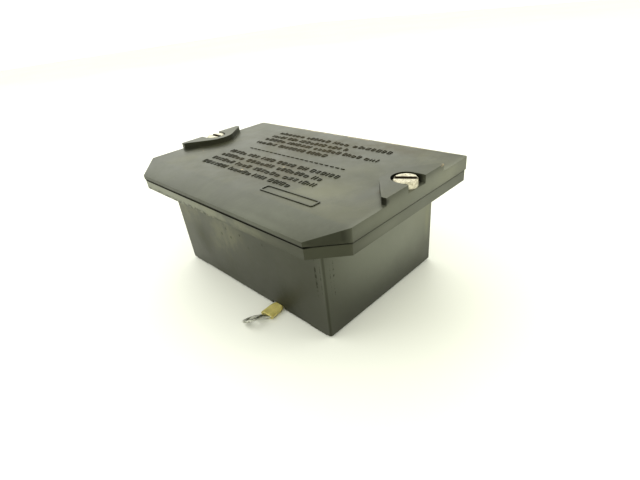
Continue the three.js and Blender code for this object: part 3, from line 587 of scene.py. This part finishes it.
materials = {
    "lid": black_plastic(
        "lid_plastic", LID_SHIFT, LID_DUST, LID_MARKS, 0.0, None, JOINT_HIGH, CREASE_Y
    ),
    "lid_edge": black_plastic(
        "lid_plastic_edge", LID_SHIFT, LID_DUST, LID_MARKS, 0.40, None, JOINT_HIGH, CREASE_Y
    ),
    "print": black_plastic("raised_print", LID_SHIFT, 0.30, PRINT_MARKS, 0.10, shine=0.44),
    "body": black_plastic("body_plastic", BODY_SHIFT, BODY_DUST, BODY_MARKS, 0.0, JOINT_LOW),
    "body_edge": black_plastic(
        "body_plastic_edge", BODY_SHIFT, BODY_DUST, BODY_MARKS, 0.30, JOINT_LOW
    ),
    "rubber": gasket_rubber(),
    "screw": screw_nickel(),
    "nickel": metal("nickel_plate", (0.74, 0.72, 0.66), (0.50, 0.48, 0.43), (0.10, 0.085, 0.06), 0.0),
    "brass": metal("brass", (0.62, 0.45, 0.18), (0.42, 0.29, 0.11), (0.10, 0.07, 0.035), 2.0),
    "steel": metal("spring_steel", (0.50, 0.50, 0.49), (0.30, 0.30, 0.30), (0.10, 0.07, 0.05), 4.0),
    "tin": metal(
        "tinned_copper", (0.62, 0.62, 0.56), (0.20, 0.21, 0.17), (0.06, 0.035, 0.02), 6.0, spots=0.8
    ),
    "sleeve": soft_vinyl("yellow_vinyl", (0.60, 0.52, 0.18), (0.42, 0.36, 0.11), 0.0, glow=0.25),
    "wire": soft_vinyl("red_wire_jacket", (0.36, 0.035, 0.022), (0.20, 0.018, 0.012), 3.0),
    "jacket": cell_jacket(),
}


# ---------------------------------------------------------------- mesh helpers

def shown(mesh_or_curve, name, body, replaced=()):
    """Puts a piece into the scene on its body, standing for CAD nodes if any are named."""
    piece = bpy.data.objects.new(name, mesh_or_curve)
    scene.collection.objects.link(piece)
    if replaced:
        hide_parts(*replaced)
    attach(piece, body)
    return piece


def smooth(mesh, sharp=35):
    """Smooth shading, with edges over an angle in degrees kept sharp."""
    mesh.shade_smooth()
    mesh.set_sharp_from_angle(angle=math.radians(sharp))


def weigh_normals(piece):
    """Shading that keeps large flat faces flat beside their rounded edges."""
    modifier = piece.modifiers.new("normals", "WEIGHTED_NORMAL")
    modifier.keep_sharp = True
    modifier.weight = 90


def mesh_from(shape, name, material):
    """Turns a bmesh into a mesh with one material."""
    mesh = bpy.data.meshes.new(name)
    shape.to_mesh(mesh)
    shape.free()
    mesh.materials.clear()
    mesh.materials.append(material)
    return mesh


MERGE_DISTANCE = 0.002 * MM
FLAT_ANGLE = math.radians(1)
EDGE_ANGLE = math.radians(30)


def refined(node, material, edge_material=None, width=0.3 * MM, segments=3):
    """A CAD node's mesh with clean flat faces and rounded edges, in place of the node."""
    shape = bmesh.new()
    shape.from_mesh(nodes[node].data)
    bmesh.ops.remove_doubles(shape, verts=shape.verts, dist=MERGE_DISTANCE)
    bmesh.ops.dissolve_limit(
        shape,
        angle_limit=FLAT_ANGLE,
        use_dissolve_boundaries=False,
        verts=shape.verts,
        edges=shape.edges,
        delimit={"NORMAL"},
    )
    corners = [
        edge for edge in shape.edges if len(edge.link_faces) == 2 and edge.calc_face_angle() > EDGE_ANGLE
    ]
    for face in shape.faces:
        face.material_index = 0
    bmesh.ops.bevel(
        shape,
        geom=corners,
        offset=width,
        offset_type="OFFSET",
        segments=segments,
        profile=0.5,
        clamp_overlap=True,
        affect="EDGES",
        material=1 if edge_material else -1,
    )
    mesh = mesh_from(shape, node + "_fine", material)
    if edge_material:
        mesh.materials.append(edge_material)
    smooth(mesh)
    piece = shown(mesh, node + "_fine", body_of_node[node], [node])
    weigh_normals(piece)
    return piece


def tube_mesh(shape, rings, closed_ends=True):
    """Joins rings of points into a tube in a bmesh.

    Without closed ends the last ring meets the first, as a hollow form needs.
    """
    made = [[shape.verts.new(p) for p in ring] for ring in rings]
    count = len(made[0])
    pairs = list(zip(made, made[1:]))
    if not closed_ends:
        pairs.append((made[-1], made[0]))
    for near_ring, far_ring in pairs:
        for i in range(count):
            j = (i + 1) % count
            shape.faces.new((near_ring[i], near_ring[j], far_ring[j], far_ring[i]))
    if closed_ends:
        shape.faces.new(list(reversed(made[0])))
        shape.faces.new(made[-1])


# ---------------------------------------------------------------- the lead's wire

WIRE_RADIUS = 1.0 * MM
# from the inner sleeve under the floor to the outer sleeve, the same points as in the CAD source
LEAD_ROUTE_MM = (
    (-31.3, -22.5, 9.2), (-28.5, -22.1, 9), (-25, -21.5, 8.5), (-21, -20.8, 7.7), (-17, -20.1, 6.7),
    (-13, -19.4, 5.6), (-9, -18.8, 4.6), (-5, -18.2, 3.7), (-1, -17.7, 2.9), (3, -17.3, 2.2),
    (7, -17.1, 1.7), (11, -17.5, 1.4), (14.8, -19, 1.25), (18, -21.6, 1.2), (20.1, -24.8, 1.2),
    (21.2, -28, 1.2), (21.6, -30.7, 1.2),
)
lead_points = [Vector(p) * MM for p in LEAD_ROUTE_MM]

lead_curve = bpy.data.curves.new("lead_wire_fine", "CURVE")
lead_curve.dimensions = "3D"
lead_curve.bevel_depth = WIRE_RADIUS
lead_curve.bevel_resolution = 5
lead_curve.resolution_u = 6
lead_curve.use_fill_caps = True
lead_spline = lead_curve.splines.new("BEZIER")
lead_spline.bezier_points.add(len(lead_points) - 1)
for knot, point in zip(lead_spline.bezier_points, lead_points):
    knot.co = point
    knot.handle_left_type = "AUTO"
    knot.handle_right_type = "AUTO"
lead_curve.materials.append(materials["wire"])
lead_wire = shown(lead_curve, "lead_wire_fine", "case", ["lead_wire"])


# ---------------------------------------------------------------- sleeves and ring lugs

SLEEVE_LENGTH = 10.6 * MM
SLEEVE_WALL = 0.5 * MM
# how far along, half width and half height in mm: wide and flat at the front, narrow at the wire
SLEEVE_STATIONS = (
    (0.000, 3.62, 1.02), (0.015, 3.70, 1.10), (0.10, 3.70, 1.09), (0.25, 3.66, 1.06),
    (0.42, 3.62, 1.03), (0.58, 3.55, 1.02), (0.70, 3.35, 1.03), (0.80, 2.75, 1.06),
    (0.88, 2.05, 1.09), (0.95, 1.60, 1.10), (0.985, 1.52, 1.08), (1.000, 1.44, 1.00),
)
RING_PLATE = 0.9 * MM
RING_OUTER = 4.25 * MM
RING_INNER = 2.15 * MM
RING_REACH = 7 * MM
RING_EDGE = 0.22 * MM
RING_STEPS = 64
# along the lug, half width and half height in mm, squareness, share of the barrel's frame
LUG_NECK = (
    (-4.6, 2.10, 0.45, 5.0, 0.00), (-3.4, 1.95, 0.48, 4.0, 0.00), (-2.7, 1.60, 0.75, 2.6, 0.10),
    (-2.2, 1.40, 0.92, 2.2, 0.25), (-1.4, 1.35, 0.98, 2.2, 0.55), (-0.8, 1.40, 0.90, 2.2, 0.80),
    (-0.3, 1.60, 0.70, 2.6, 1.00), (0.2, 2.10, 0.46, 4.0, 1.00), (1.0, 2.50, 0.45, 5.0, 1.00),
    (5.0, 2.50, 0.45, 5.0, 1.00), (8.6, 2.20, 0.45, 5.0, 1.00),
)
OUTER_PLACE_MM = (21.9, -33.6, 1.2)
OUTER_YAW = math.radians(6.5)
OUTER_END = Matrix.Translation(Vector(OUTER_PLACE_MM) * MM) @ Matrix.Rotation(OUTER_YAW, 4, "Z")
OUTER_RING_ROLL = math.radians(28)
OUTER_RING_ASIDE = math.radians(-28)
OUTER_RING_RISE = 1.35 * MM
STUD_X, STUD_Y, INNER_HEIGHT = -49.5 * MM, -25.1 * MM, 9.25 * MM
INNER_YAW = math.radians(-82)
INNER_PLACE = (
    STUD_X - RING_REACH * math.sin(INNER_YAW), STUD_Y + RING_REACH * math.cos(INNER_YAW), INNER_HEIGHT
)
INNER_END = Matrix.Translation(INNER_PLACE) @ Matrix.Rotation(INNER_YAW, 4, "Z")


def oval(half_width, half_height, bulge, y, count=40):
    """Points round a flattened tube; bulge 2 is an ellipse and more is squarer."""
    points = []
    for i in range(count):
        angle = 2 * math.pi * i / count
        c, s = math.cos(angle), math.sin(angle)
        x = half_width * math.copysign(abs(c) ** (2 / bulge), c)
        z = half_height * math.copysign(abs(s) ** (2 / bulge), s)
        points.append(Vector((x, y, z)))
    return points


def sleeve(name, node, place, front):
    """A soft tube, round where it grips the wire and pressed flat and open at its front."""
    rings = []
    for along, width, height in SLEEVE_STATIONS:
        rings.append(oval(width * MM, height * MM, 3.2, front + along * SLEEVE_LENGTH))
    for along, width, height in reversed(SLEEVE_STATIONS):
        y = front + min(along * SLEEVE_LENGTH + 0.02 * MM, SLEEVE_LENGTH)
        rings.append(oval(width * MM - SLEEVE_WALL, height * MM - SLEEVE_WALL, 2.8, y))
    shape = bmesh.new()
    tube_mesh(shape, [[place @ p for p in ring] for ring in rings], closed_ends=False)
    bmesh.ops.recalc_face_normals(shape, faces=shape.faces)
    mesh = mesh_from(shape, name, materials["sleeve"])
    smooth(mesh, 60)
    piece = shown(mesh, name, "case", [node])
    piece.modifiers.new("round", "SUBSURF").levels = 1
    piece.modifiers["round"].render_levels = 1
    return piece


outer_sleeve = sleeve("lead_outer_sleeve_fine", "lead_outer_sleeve", OUTER_END, -8 * MM)
sleeve("lead_inner_sleeve_fine", "lead_inner_sleeve", INNER_END, 0.4 * MM)


def rounded_section(inner, outer, half, edge):
    """Radius and height of the points round a flat ring's cross-section with rounded corners."""
    near = 0.3 * edge
    return (
        (inner, -half + edge), (inner + near, -half + near), (inner + edge, -half),
        (outer - edge, -half), (outer - near, -half + near), (outer, -half + edge),
        (outer, half - edge), (outer - near, half - near), (outer - edge, half),
        (inner + edge, half), (inner + near, half - near), (inner, half - edge),
    )


def ring_lug(name, node, place, aside_by, origin, roll, aside, rise):
    """A crimp lug: a flat ring, a bent neck and a pressed barrel, each with rounded edges."""
    turned = (
        Matrix.Translation((0, 0, rise))
        @ Matrix.Rotation(aside, 4, "Z")
        @ Matrix.Rotation(-roll, 4, "Y")
    )
    shift = Matrix.Translation((aside_by, origin, 0))
    shape = bmesh.new()
    rings = []
    for i in range(RING_STEPS):
        angle = 2 * math.pi * i / RING_STEPS
        c, s = math.cos(angle), math.sin(angle)
        rings.append([
            place @ shift @ turned @ Vector((radius * c, radius * s - RING_REACH, height))
            for radius, height in rounded_section(RING_INNER, RING_OUTER, RING_PLATE / 2, RING_EDGE)
        ])
    tube_mesh(shape, rings, closed_ends=False)
    neck = []
    for y, half_width, half_height, bulge, share in LUG_NECK:
        section = oval(half_width * MM, half_height * MM, bulge, y * MM, 24)
        neck.append([place @ shift @ (turned @ p).lerp(p, share) for p in section])
    tube_mesh(shape, neck)
    bmesh.ops.recalc_face_normals(shape, faces=shape.faces)
    mesh = mesh_from(shape, name, materials["tin"])
    smooth(mesh, 45)
    return shown(mesh, name, "case", [node])


outer_lug = ring_lug(
    "lead_outer_lug_fine",
    "lead_outer_lug",
    OUTER_END,
    0.25 * MM,
    -8.2 * MM,
    OUTER_RING_ROLL,
    OUTER_RING_ASIDE,
    OUTER_RING_RISE,
)
ring_lug("lead_inner_lug_fine", "lead_inner_lug", INNER_END, 0.0, 0.0, 0.0, 0.0, 1.75 * MM)

# ---------------------------------------------------------------- the case

refined("case_body", materials["body"], materials["body_edge"], 0.28 * MM)
refined("lid", materials["lid"], materials["lid_edge"], 0.28 * MM)
refined("lid_gasket", materials["rubber"], width=0.25 * MM)
for side in ("left", "right"):
    refined(f"lid_screw_{side}", materials["screw"], width=0.28 * MM)
    refined(f"screw_retainer_{side}", materials["steel"], width=0.15 * MM)
    refined(f"threaded_insert_{side}", materials["brass"], width=0.2 * MM)
for number in (1, 2, 3):
    refined(f"cell_{number}_can", materials["jacket"], width=0.9 * MM, segments=4)
    refined(f"cell_{number}_cap", materials["nickel"], width=0.3 * MM)
    refined(f"cell_spring_{number}", materials["steel"], width=0.05 * MM, segments=1)
for plate in ("link_plate_back", "link_plate_front", "end_plate_minus", "end_plate_plus"):
    refined(plate, materials["nickel"], width=0.12 * MM, segments=2)
for pole in ("minus", "plus"):
    refined(f"terminal_stud_{pole}", materials["brass"], width=0.2 * MM)
    refined(f"terminal_washer_{pole}", materials["nickel"], width=0.15 * MM, segments=2)
    refined(f"terminal_nut_{pole}", materials["brass"], width=0.3 * MM)

# ---------------------------------------------------------------- raised marks on the lid

LID_TOP = 59.0 * MM
MARK_RELIEF = 0.38 * MM
MARK_SINK = 0.3 * MM
MARK_STROKE = 0.42 * MM
MARK_HEIGHT = 3.2 * MM
MARK_EDGE = 0.12 * MM
MARK_TUCK = 0.08 * MM
draw = random.Random(20)


def raised_outline(shape, outer, inner=None):
    """A raised bar or hollow frame on the lid: closed outlines of points, with softened top edges."""
    low, high = LID_TOP - MARK_SINK, LID_TOP + MARK_RELIEF
    near = 0.3 * MARK_EDGE

    def ring(points, height, inset):
        """The outline at a height, drawn in towards its middle by inset."""
        middle = sum((Vector(p) for p in points), Vector((0, 0))) / len(points)
        made = []
        for x, y in points:
            side_x, side_y = math.copysign(1, x - middle.x), math.copysign(1, y - middle.y)
            made.append(Vector((x - inset * side_x, y - inset * side_y, height)))
        return made

    levels = ((low, MARK_TUCK), (high - MARK_EDGE, 0.0), (high - near, near), (high, MARK_EDGE))
    rings = [ring(outer, height, inset) for height, inset in levels]
    if inner:
        rings += [ring(inner, height, -inset) for height, inset in reversed(levels)]
    tube_mesh(shape, rings, closed_ends=not inner)


def box_points(x, y, half_x, half_y, cut):
    """Eight points of a rectangle with cut corners."""
    flat = [
        (-half_x + cut, -half_y), (half_x - cut, -half_y), (half_x, -half_y + cut),
        (half_x, half_y - cut), (half_x - cut, half_y), (-half_x + cut, half_y),
        (-half_x, half_y - cut), (-half_x, -half_y + cut),
    ]
    return [(x + px, y + py) for px, py in flat]


def placeholder_row(shape, y, start, end):
    """One row of boxes, ticks and bars in groups, which stands for a line of small raised print."""
    foot = y - MARK_HEIGHT / 2
    x = start
    while x < end - 1.5 * MM:
        for _ in range(draw.randint(3, 8)):
            kind = draw.choice(("box", "box", "low box", "low box", "tick", "low tick", "bars"))
            half_x = draw.choice((0.90, 1.05, 1.15)) * MM
            half_y = MARK_HEIGHT / 2 * (0.70 if kind.startswith("low") else 1.0)
            if kind.endswith("tick"):
                half_x = MARK_STROKE / 2
            if x + 2 * half_x > end:
                break
            centre = (x + half_x, foot + half_y)
            if kind.endswith("tick"):
                raised_outline(shape, box_points(*centre, half_x, half_y, 0.1 * MM))
            elif kind == "bars":
                for lift in (-0.62, 0.0, 0.62):
                    bar = box_points(centre[0], centre[1] + lift * half_y, half_x, 0.25 * MM, 0.08 * MM)
                    raised_outline(shape, bar)
            else:
                inner = box_points(*centre, half_x - MARK_STROKE, half_y - MARK_STROKE, 0.10 * MM)
                raised_outline(shape, box_points(*centre, half_x, half_y, 0.35 * MM), inner)
            x += 2 * half_x + draw.uniform(0.85, 1.40) * MM
        x += draw.uniform(1.2, 2.4) * MM


# the rows of placeholders: y, start and end in mm
UPPER_ROWS = ((33.1, -38.8, 41.7), (27.0, -38.8, 21), (21.4, -38.8, 41.7), (15.3, -38.8, 15))
LOWER_ROWS = ((-2.4, -39.7, 39.8), (-8.2, -39.7, 37), (-14.1, -39.7, 36.4), (-20.0, -39.7, 27))
RULE_Y, RULE_START, RULE_END, RULE_DASHES = 5.7, -34.4, 35.6, 21
PANEL_X, PANEL_Y, PANEL_HALF_X, PANEL_HALF_Y, PANEL_STROKE = 34.1, -26.9, 15.8, 2.75, 0.9

marks = bmesh.new()
for y, start, end in UPPER_ROWS + LOWER_ROWS:
    placeholder_row(marks, y * MM, start * MM, end * MM)
rule_pitch = (RULE_END - RULE_START) / RULE_DASHES
for dash in range(RULE_DASHES):
    x = (RULE_START + rule_pitch * (dash + 0.5)) * MM
    raised_outline(marks, box_points(x, RULE_Y * MM, 0.33 * rule_pitch * MM, 0.3 * MM, 0.1 * MM))
raised_outline(
    marks,
    box_points(PANEL_X * MM, PANEL_Y * MM, PANEL_HALF_X * MM, PANEL_HALF_Y * MM, 0.8 * MM),
    box_points(
        PANEL_X * MM,
        PANEL_Y * MM,
        (PANEL_HALF_X - PANEL_STROKE) * MM,
        (PANEL_HALF_Y - PANEL_STROKE) * MM,
        0.4 * MM,
    ),
)
bmesh.ops.recalc_face_normals(marks, faces=marks.faces)
mark_mesh = mesh_from(marks, "lid_marks", materials["print"])
smooth(mark_mesh, 40)
shown(mark_mesh, "lid_marks", "lid")

# ---------------------------------------------------------------- floor and light

FLOOR_HALF = 2.5
FLOOR_DARK = (0.845, 0.845, 0.79)
FLOOR_LIGHT = (0.875, 0.875, 0.83)
ROOM_COLOUR = (0.99, 1.01, 0.88, 1)
ROOM_STRENGTH = 1.28


def floor_material():
    """A plain pale floor with a faint broad unevenness."""
    s = Surface("pale_floor", roughness=0.6)
    soft = s.noise(0.25, 3, 0.5)
    s.colour(s.mix(s.span(soft, 0.3, 0.7), FLOOR_DARK, FLOOR_LIGHT))
    s.roughness(s.span(soft, 0.3, 0.7, 0.5, 0.62))
    return s.material


floor_shape = bmesh.new()
bmesh.ops.create_grid(floor_shape, x_segments=8, y_segments=8, size=FLOOR_HALF)
floor = bpy.data.objects.new("floor", mesh_from(floor_shape, "floor", floor_material()))
scene.collection.objects.link(floor)

world = bpy.data.worlds.new("studio")
world.use_nodes = True
world.node_tree.nodes["Background"].inputs["Color"].default_value = ROOM_COLOUR
world.node_tree.nodes["Background"].inputs["Strength"].default_value = ROOM_STRENGTH
scene.world = world


def softbox(name, place, target, size, power):
    """A rectangular light of a size in metres and a power in watts, facing a target."""
    light = bpy.data.lights.new(name, "AREA")
    light.shape = "RECTANGLE"
    light.size, light.size_y = size
    light.energy = power
    box = bpy.data.objects.new(name, light)
    box.location = place
    box.rotation_euler = (Vector(target) - Vector(place)).to_track_quat("-Z", "Y").to_euler()
    scene.collection.objects.link(box)


softbox("key", (-0.72, 0.45, 0.72), (0, 0, 0.03), (1.1, 1.0), 3.3)
softbox("left_fill", (-0.60, -0.50, 0.75), (0, 0, 0.0), (0.9, 0.9), 3.1)
softbox("right_fill", (0.75, 0.75, 0.55), (0.15, 0.15, 0.0), (0.7, 0.5), 2.4)

scene.view_settings.view_transform = "Standard"
scene.view_settings.look = "None"
scene.view_settings.exposure = 0.0
scene.view_settings.gamma = 1.0
